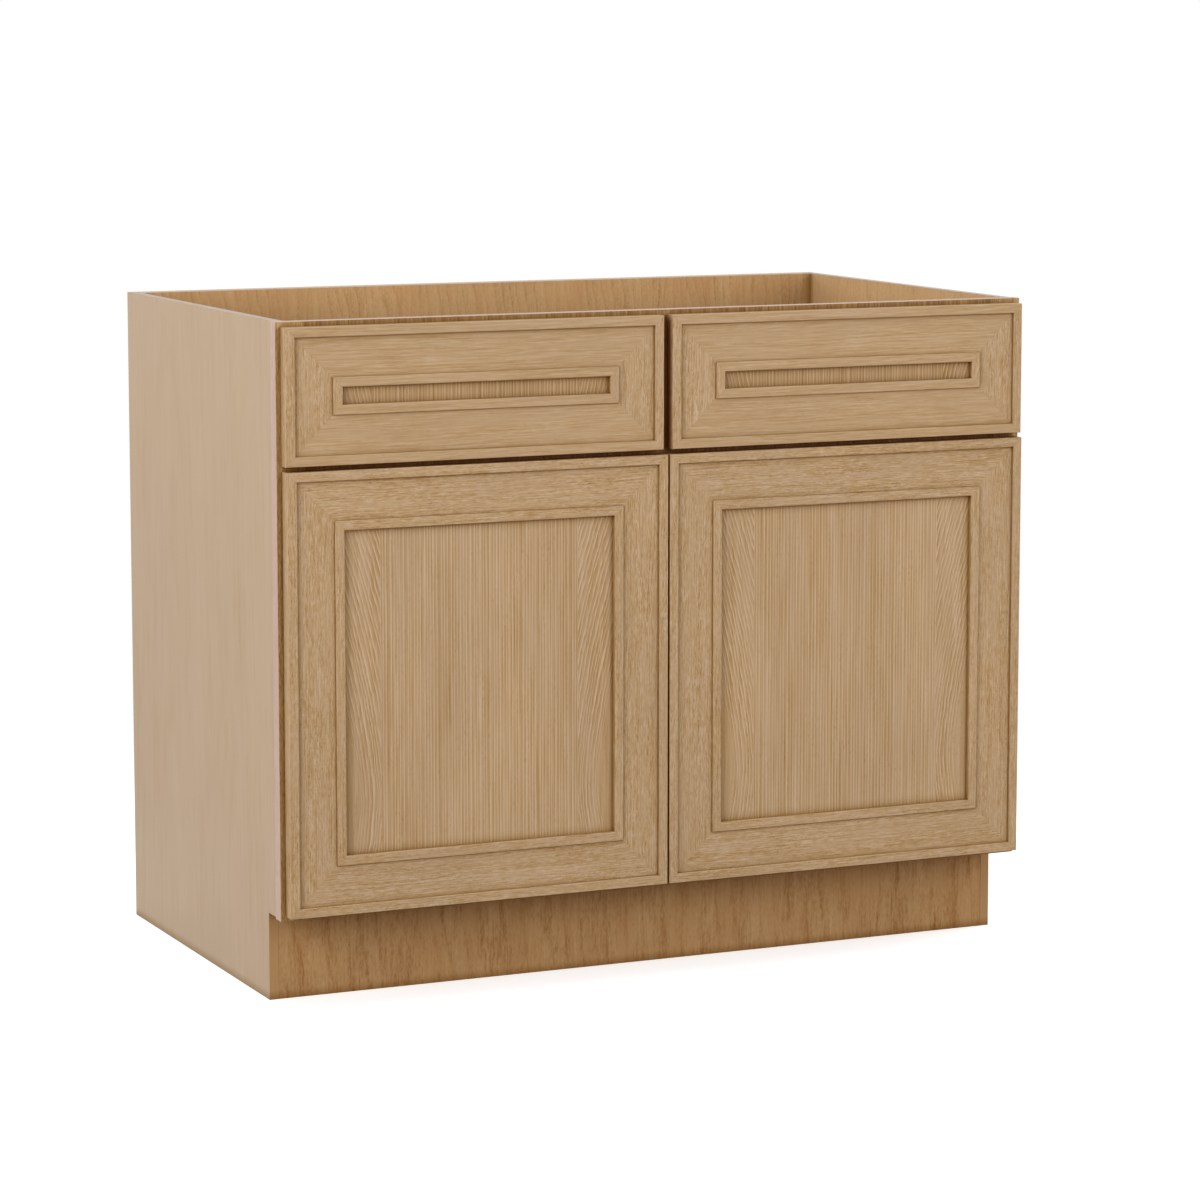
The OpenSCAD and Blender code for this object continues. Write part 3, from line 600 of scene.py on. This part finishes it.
# What runs across, along and through each board, by the end of its node's name
MEMBER_AXES = {"top_rail": "zxy", "bottom_rail": "zxy", "outer_stile": "xzy", "inner_stile": "xzy",
               "hinge_stile": "xzy", "lock_stile": "xzy"}
BOX_AXES = {"box_front": "zxy", "box_back": "zxy", "box_outer_side": "zyx", "box_inner_side": "zyx",
            "box_bottom": "xyz"}
# Panels of the carcass: what runs across, along and through them, wood, and colours of their ends
# The toe board's wood holds painted shade under the doors' overhang
PANELS = {
    "back_panel": ("xzy", MAPLE, PALE_END), "toe_kick_board": ("xzy", SHADED_TOE_MAPLE, None),
    "floor_panel": ("yxz", MAPLE, None), "shelf": ("yxz", MAPLE, None)}
FRAME_RAILS = ("frame_top_rail", "frame_mid_rail", "frame_bottom_rail", "frame_mullion")
# Height of the flame's waist from the panel's middle: for a door as a share of its height, for a slot in mm
DOOR_WAIST = -0.32
SLOT_WAIST = -130
# Layers of the plywood in the hanging rails and the drawer bottoms
RAIL_PLIES = 13
BOTTOM_PLIES = 5


def dress_fronts():
    """Rails, stiles and panels of the drawer fronts and doors."""
    for number, side in enumerate(SIDES):
        for place, (ending, axes) in enumerate(MEMBER_AXES.items()):
            for kind in ("drawer", "door"):
                name = f"{side}_{kind}_{ending}"
                if name in frame["nodes"]:
                    seed = 10 * number + place + (50 if kind == "door" else 0)
                    pith = (70 + 9 * place, 20 + 5 * place)
                    wood = DRAWER_OAK if kind == "drawer" and "rail" in ending else DOOR_OAK
                    dress(name, wood_material(name, axes, wood, seed, pith, tilt=0.09))
        name = side + "_door_panel"
        low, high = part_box(name)
        waist = DOOR_WAIST * (high.z - low.z) / MM
        dress(name, wood_material(name, "xzy", PANEL_OAK, 80 + number, flame=DOOR_FLAME, waist=waist))
        # The slot panel's wood holds painted shade of its recess
        name = side + "_drawer_front_panel"
        dress(name, wood_material(
            name, "xzy", SHADED_SLOT_OAK, 90 + number, flame=SLOT_FLAME, waist=SLOT_WAIST))


def dress_carcass():
    """Carcass, face frame and drawer boxes."""
    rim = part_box("frame_stile_left")[0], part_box("frame_stile_right")[1]
    for number, side in enumerate(SIDES):
        name = "side_panel_" + side
        dress(name, wood_material(
            name, "yzx", PALE_VENEER, 120 + number, pith=(120, 60), tilt=0.1, edges=BANDED_EDGE,
            ends=PALE_END, inside=SIDE_MAPLE))
        # The stile's wood holds painted light from the left
        name = "frame_stile_" + side
        dress(name, wood_material(name, "xzy", LIT_STILE_OAK, 130 + number, rim=rim), ease=0.4)
    # The rails' and mullion's wood holds painted shade of the gaps between the fronts
    for number, name in enumerate(FRAME_RAILS):
        dress(name, wood_material(name, "xzy", SHADED_FRAME_OAK, 135 + number, rim=rim), ease=0.4)
    for number, (name, (axes, wood, ends)) in enumerate(PANELS.items()):
        dress(name, wood_material(
            name, axes, wood, 140 + number, pith=(-900, 200), tilt=0.3, edges=BANDED_EDGE, ends=ends))
    for number, name in enumerate(("hanging_rail_top", "hanging_rail_bottom")):
        dress(name, wood_material(name, "zxy", BIRCH, 150 + number, plies=RAIL_PLIES))
    for side_number, side in enumerate(SIDES):
        for number, (ending, axes) in enumerate(BOX_AXES.items()):
            name = f"{side}_drawer_{ending}"
            plies = BOTTOM_PLIES if ending == "box_bottom" else 0
            seed = 160 + 10 * side_number + number
            dress(name, wood_material(name, axes, BIRCH, seed, plies=plies))


def dress_hardware():
    """Slides, hinges, pins and bumpers. Gives the two steels for the fasteners."""
    zinc = metal_material("zinc_steel", srgb(196, 199, 203), 0.3, (0.3, 30, 0.3))
    nickel = metal_material("nickel_steel", srgb(205, 200, 190), 0.24, (0.4, 0.4, 6))
    plastic = soft_material("white_plastic", srgb(232, 230, 224), srgb(218, 215, 207), 0.5)
    rubber = soft_material("clear_rubber", srgb(222, 228, 228), srgb(205, 212, 212), 0.25, 0.6)
    for name in frame["nodes"]:
        if name == "slide_rear_brackets":
            dress(name, plastic, ease=0.3)
        elif "slide" in name:
            dress(name, zinc, ease=0.2)
        elif name.endswith(("pins", "hinge_arms", "hinge_cups")):
            dress(name, nickel, ease=0.2)
        elif name.endswith("bumpers"):
            dress(name, rubber, ease=0.4)
    return zinc, nickel


def new_piece(name, body, material, build):
    """Makes a mesh piece with bmesh and lets it ride on a body."""
    mesh = bpy.data.meshes.new(name)
    work = bmesh.new()
    build(work)
    bmesh.ops.recalc_face_normals(work, faces=work.faces)
    work.to_mesh(mesh)
    work.free()
    mesh.materials.append(material)
    piece = bpy.data.objects.new(name, mesh)
    bpy.context.scene.collection.objects.link(piece)
    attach(piece, body)
    return piece


def ring_of(work, centre, radius, height, across, up, out):
    """A ring of vertices round an axis that points out."""
    angles = [math.tau * step / HEAD_STEPS for step in range(HEAD_STEPS)]
    return [work.verts.new(centre + out * height + radius * (
        across * math.cos(angle) + up * math.sin(angle))) for angle in angles]


def bridge(work, first, second):
    """Faces between two loops of vertices."""
    for step in range(len(first)):
        after = (step + 1) % len(first)
        work.faces.new((first[step], first[after], second[after], second[step]))


def loop_edges(work, loop):
    """The edges round a loop of vertices, made where they are missing."""
    return [work.edges.get(pair) or work.edges.new(pair) for pair in zip(loop, loop[1:] + loop[:1])]


def add_screw(work, place, out, head):
    """A pan head with a cross recess, seated on a surface whose normal is out."""
    radius, height = head
    out = Vector(out)
    across = out.orthogonal().normalized()
    up = out.cross(across)
    place = Vector(place)
    rings = [
        ring_of(work, place, share * radius, lift * height, across, up, out)
        for share, lift in HEAD_OUTLINE]
    for first, second in zip(rings, rings[1:]):
        bridge(work, first, second)
    arm, half = RECESS_ARM * radius, RECESS_HALF * radius
    corners = []
    for quarter in range(4):
        turn = Matrix.Rotation(quarter * math.pi / 2, 2)
        for x, y in ((arm, -half), (arm, half), (half, half)):
            corners.append(turn @ Vector((x, y)))
    rim = [work.verts.new(place + out * height + across * x + up * y) for x, y in corners]
    foot = place + out * RECESS_FLOOR * height
    floor = [work.verts.new(foot + RECESS_DRAFT * (across * x + up * y)) for x, y in corners]
    bridge(work, rim, floor)
    work.faces.new(floor)
    edges = loop_edges(work, rings[-1]) + loop_edges(work, rim)
    bmesh.ops.triangle_fill(work, edges=edges, use_beauty=True)


def add_staple(work, place, along, out):
    """The crown of a staple, with round shoulders that turn down into the wood."""
    along, out = Vector(along), Vector(out)
    side = out.cross(along)
    loops = []
    for way in (-1, 1):
        for inset, lift in STAPLE_SHOULDER[::-way]:
            run = way * (STAPLE_WIDTH / 2 - inset)
            centre = Vector(place) + along * run * MM + out * lift * MM
            facing = out if lift == STAPLE_CROWN else along * -way
            loops.append([
                work.verts.new(centre + side * x * STAPLE_WIRE / 2 * MM - facing * y * STAPLE_DEPTH * MM)
                for x, y in STAPLE_SECTION])
    for first, second in zip(loops, loops[1:]):
        bridge(work, first, second)
    work.faces.new(loops[0])
    work.faces.new(loops[-1][::-1])


def ball_shape():
    """Corners and faces of a ball of radius 1, whose poles point out of the sides of its cage. The faces
    are sorted, as Blender lists them in another order from run to run."""
    work = bmesh.new()
    turned = Matrix.Rotation(math.pi / 2, 4, "Y")
    bmesh.ops.create_uvsphere(work, u_segments=12, v_segments=9, radius=1, matrix=turned)
    work.verts.index_update()
    corners = [vert.co.copy() for vert in work.verts]
    faces = []
    for face in work.faces:
        numbers = [vert.index for vert in face.verts]
        start = numbers.index(min(numbers))
        faces.append(numbers[start:] + numbers[:start])
    work.free()
    return corners, sorted(faces)


def add_ball(work, shape, place, radius):
    """A ball whose corners and faces come from ball_shape."""
    corners, faces = shape
    verts = [work.verts.new(Vector(place) + radius * corner) for corner in corners]
    for face in faces:
        work.faces.new([verts[number] for number in face])


def smooth(piece):
    for face in piece.data.polygons:
        face.use_smooth = True


def hinge_screws(side, nickel):
    """Two screws through the ears of each cup and two through the plate of each arm."""
    low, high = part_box(side + "_door_hinge_cups")
    inward = 1 if side == "left" else -1
    x = (high.x if side == "left" else low.x) - inward * EAR_MIDDLE
    heights = (low.z + EAR_HALF, high.z - EAR_HALF)

    def cups(work):
        for z in heights:
            for up in (-1, 1):
                place = (x, high.y, z + up * (EAR_HALF - EAR_END))
                add_screw(work, place, (0, 1, 0), HINGE_HEAD)

    def plates(work):
        stile_low, stile_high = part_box("frame_stile_" + side)
        plate_x = (stile_high.x if side == "left" else stile_low.x) + inward * ARM_PLATE
        for z in heights:
            for up in (-1, 1):
                place = (plate_x, (stile_low.y + stile_high.y) / 2, z + up * ARM_SCREW)
                add_screw(work, place, (inward, 0, 0), HINGE_HEAD)

    smooth_screws(new_piece(side + "_hinge_cup_screws", side + "_door", nickel, cups))
    smooth_screws(new_piece(side + "_hinge_plate_screws", "carcass", nickel, plates))


def smooth_screws(piece):
    """Smooth faces with crisp edges."""
    smooth(piece)
    piece.data.set_sharp_from_angle(angle=CRISP_TURN)


def slide_ends(side):
    """For both slides of a drawer: the x of the cabinet side, and which way the box lies. Also gives the
    box round their middle members."""
    low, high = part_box(side + "_slide_middle_members")
    plate_low, plate_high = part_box(side + "_drawer_slide_members")
    lowest = plate_low.x - SLIDE_PLATE_SET
    highest = plate_high.x + SLIDE_PLATE_SET
    return ((lowest, 1), (highest, -1)), low, high


def slide_screws(side, zinc):
    """Screws of both slides: in the box sides, and in the cabinet members."""
    ends, low, high = slide_ends(side)
    z = (low.z + high.z) / 2
    box_places = [low.y + inset for inset in BOX_SCREWS] + [high.y - BOX_REAR_SCREW]
    pair = low.y + CABINET_PAIR
    cabinet_places = (
        (pair, CABINET_PAIR_LIFT), (pair, -CABINET_PAIR_LIFT), (high.y - CABINET_REAR_SCREW, 0))

    def on_box(work):
        for x, way in ends:
            for y in box_places:
                add_screw(work, (x + way * SLIDE_WEB_FACE, y, z), (-way, 0, 0), BOX_HEAD)

    def on_cabinet(work):
        for x, way in ends:
            for y, up in cabinet_places:
                add_screw(work, (x + way * SLIDE_CABINET_WEB, y, z + up), (way, 0, 0), CABINET_HEAD)

    smooth_screws(new_piece(side + "_slide_box_screws", side + "_drawer", zinc, on_box))
    smooth_screws(new_piece(side + "_slide_cabinet_screws", "carcass", zinc, on_cabinet))


def slide_balls(side, zinc):
    """Balls that show on both sides of the four cages of each slide."""
    ends, low, high = slide_ends(side)
    z = (low.z + high.z) / 2
    shape = ball_shape()

    def build(work):
        for x, way in ends:
            for depth, lift, radius in BALL_RACES:
                for up in (-1, 1):
                    y = low.y + BALL_FIRST
                    while y < high.y - BALL_FREE:
                        add_ball(work, shape, (x + way * depth, y, z + up * lift), radius)
                        y += BALL_STEP

    smooth(new_piece(side + "_slide_balls", side + "_slide_middle", zinc, build))


def bracket_screws(zinc):
    """Two screws in the foot of each rear bracket."""
    low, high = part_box("slide_rear_brackets")
    foot_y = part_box("back_panel")[0].y - BRACKET_FOOT

    def build(work):
        for side in SIDES:
            for x, way in slide_ends(side)[0]:
                for up in (-1, 1):
                    z = (low.z + high.z) / 2 + up * BRACKET_SCREW_LIFT
                    add_screw(work, (x - way * BRACKET_SCREW_SET, foot_y, z), (0, -1, 0), BRACKET_HEAD)

    smooth_screws(new_piece("bracket_screws", "carcass", zinc, build))


def front_screws(side, zinc):
    """Four screws inside the box that hold the drawer front."""
    low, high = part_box(side + "_drawer_box_front")

    def build(work):
        for across in FRONT_SCREWS_ACROSS:
            for up in FRONT_SCREWS_UP:
                place = (low.x + across * (high.x - low.x), high.y, low.z + up * (high.z - low.z))
                add_screw(work, place, (0, 1, 0), FRONT_HEAD)

    smooth_screws(new_piece(side + "_front_screws", side + "_drawer", zinc, build))


def back_staples(zinc):
    """Staples through the back panel along both sides, between the hanging rails."""
    back_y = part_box("back_panel")[1].y
    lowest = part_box("hanging_rail_bottom")[1].z + STAPLE_LOWEST
    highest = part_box("hanging_rail_top")[0].z - STAPLE_HIGHEST
    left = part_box("side_panel_left")[1].x + STAPLE_COLUMN
    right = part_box("side_panel_right")[0].x - STAPLE_COLUMN

    def build(work):
        for x in (left, right):
            for step in range(STAPLE_SPACES + 1):
                z = lowest + (highest - lowest) * step / STAPLE_SPACES
                add_staple(work, (x, back_y, z), (0, 0, 1), (0, 1, 0))

    new_piece("back_staples", "carcass", zinc, build)


def make_camera():
    """The camera of the photographed view."""
    camera = bpy.data.objects.new("camera", bpy.data.cameras.new("camera"))
    bpy.context.scene.collection.objects.link(camera)
    frame_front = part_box("frame_top_rail")[0].y
    camera.location = CAMERA_PLACE + Vector((0, frame_front, 0))
    camera.rotation_euler = (math.pi / 2 + CAMERA_PITCH, 0, CAMERA_TURN)
    camera.data.lens = CAMERA_LENS
    camera.data.shift_y = CAMERA_SHIFT
    camera.data.clip_end = CAMERA_REACH
    bpy.context.scene.camera = camera


def make_lamp(name, place, size, power):
    """A large soft square lamp that faces the middle of the cabinet."""
    lamp = bpy.data.objects.new(name, bpy.data.lights.new(name, "AREA"))
    bpy.context.scene.collection.objects.link(lamp)
    lamp.location = place
    lamp.rotation_euler = (LAMP_TARGET - Vector(place)).to_track_quat("-Z", "Y").to_euler()
    lamp.data.size = size
    lamp.data.energy = power


def make_studio():
    """Soft world light, which is white where it is seen or reflected, and five large lamps."""
    world = bpy.data.worlds.new("studio")
    bpy.context.scene.world = world
    world.use_nodes = True
    tree = world.node_tree
    background = tree.nodes["Background"]
    background.inputs["Color"].default_value = (1, 1, 1, 1)
    path = tree.nodes.new("ShaderNodeLightPath")
    strength = tree.nodes.new("ShaderNodeMapRange")
    strength.inputs["To Min"].default_value = 1.0
    strength.inputs["To Max"].default_value = WORLD_LIGHT
    tree.links.new(path.outputs["Is Diffuse Ray"], strength.inputs["Value"])
    tree.links.new(strength.outputs[0], background.inputs["Strength"])
    for name, (place, size, power) in LAMPS.items():
        make_lamp(name, place, size, power)
    bpy.context.scene.view_settings.view_transform = "Standard"


def make_floor():
    """Pale matt floor. It is white where it is seen or reflected, apart from the cabinet's own soft
    shadow, and gives wood-coloured light to the matt surfaces."""
    work = bmesh.new()
    bmesh.ops.create_grid(work, x_segments=8, y_segments=8, size=FLOOR_REACH)
    mesh = bpy.data.meshes.new("floor")
    work.to_mesh(mesh)
    work.free()
    graph = Graph("floor")
    place = graph.add("TexCoord").outputs["Object"]
    speckle = graph.noise(place, (0.4, 0.4, 0.4), 1, 3.0)
    matt = graph.add("BsdfDiffuse", Color=graph.mix(speckle, srgb(138, 112, 78), srgb(148, 123, 88)))
    pale = graph.add("BsdfDiffuse", Color=(0.8, 0.8, 0.8, 1))
    lift = graph.add("Emission", Color=(1, 1, 1, 1), Strength=0.5)
    lifted = graph.add("AddShader", i0=pale.outputs[0], i1=lift.outputs[0])
    distance = graph.vector_math("LENGTH", place).outputs["Value"]
    far = graph.add("MapRange", Value=distance, From_Min=SHADOW_NEAR, From_Max=SHADOW_FAR).outputs[0]
    white = graph.add("Emission", Color=(1, 1, 1, 1), Strength=1.0)
    shown = graph.add("MixShader", i0=far, i1=lifted.outputs[0], i2=white.outputs[0])
    lighting = graph.add("LightPath").outputs["Is Diffuse Ray"]
    shader = graph.add("MixShader", i0=lighting, i1=shown.outputs[0], i2=matt.outputs[0])
    mesh.materials.append(graph.finish(shader))
    floor = bpy.data.objects.new("floor", mesh)
    bpy.context.scene.collection.objects.link(floor)


dress_fronts()
dress_carcass()
zinc_steel, nickel_steel = dress_hardware()
for side in SIDES:
    hinge_screws(side, nickel_steel)
    slide_screws(side, zinc_steel)
    slide_balls(side, zinc_steel)
    front_screws(side, zinc_steel)
bracket_screws(zinc_steel)
back_staples(zinc_steel)
make_camera()
make_studio()
make_floor()

bpy.context.view_layer.update()
